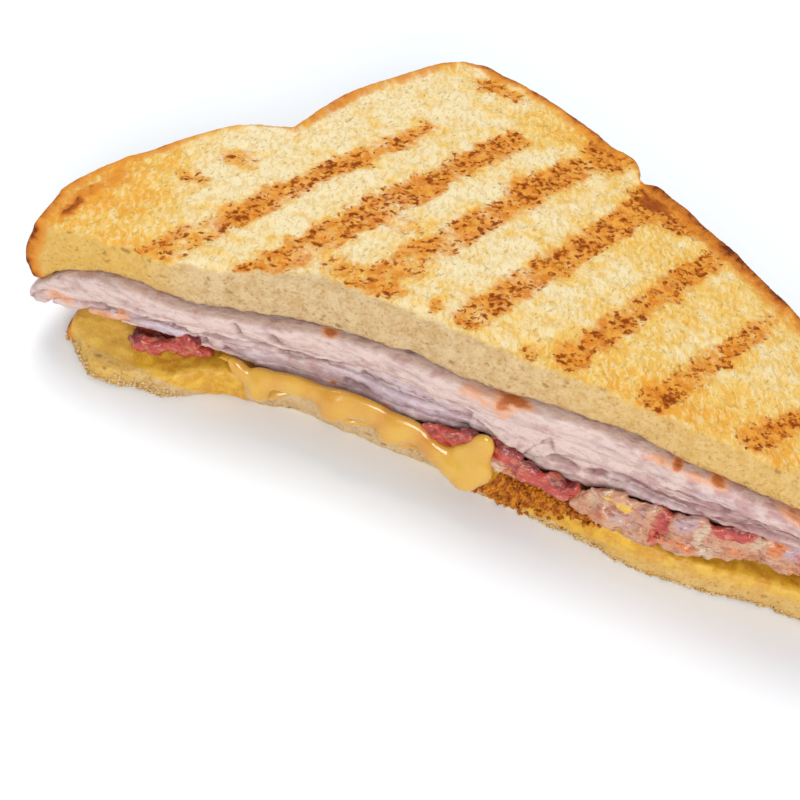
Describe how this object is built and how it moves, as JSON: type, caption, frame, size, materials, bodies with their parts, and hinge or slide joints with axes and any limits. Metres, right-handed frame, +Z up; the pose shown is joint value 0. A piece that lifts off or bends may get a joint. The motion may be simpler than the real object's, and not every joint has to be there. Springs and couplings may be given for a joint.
{
  "type": "grilled turkey bacon cheddar sandwich half",
  "caption": "Half of a grilled sandwich, cut from corner to corner and lying flat: toasted bread with grill marks, sliced turkey, bacon and melted cheddar.",
  "frame": {"origin": "middle of the base of the bounding box, on the surface the sandwich lies on", "axes": "+X along the cut towards the long thin tip, -Y out of the cut face, +Z up through the layers"},
  "size_m": [0.1504, 0.0794, 0.0312],
  "materials": {
    "toasted_bread": "dry toasted crumb, pale golden yellow with brown grill marks and a thin brown crust",
    "soaked_bread": "porous crumb, golden where butter and cheese have soaked in, with a brown crust",
    "turkey": "moist pale pink meat with torn edges and brown roast spots",
    "bacon": "greasy red meat with cream and pink streaks of fat",
    "melted_cheddar": "glossy golden melted cheese"
  },
  "bodies": {
    "root": {"top_bread": "toasted_bread", "turkey_slice_1": "turkey", "turkey_slice_2": "turkey", "turkey_slice_3": "turkey", "turkey_slice_4": "turkey", "bacon_rasher_1": "bacon", "bacon_rasher_2": "bacon", "bacon_rasher_3": "bacon", "bacon_rasher_4": "bacon", "bacon_rasher_5": "bacon", "cheddar": "melted_cheddar", "bottom_bread": "soaked_bread"}
  },
  "joints": []
}
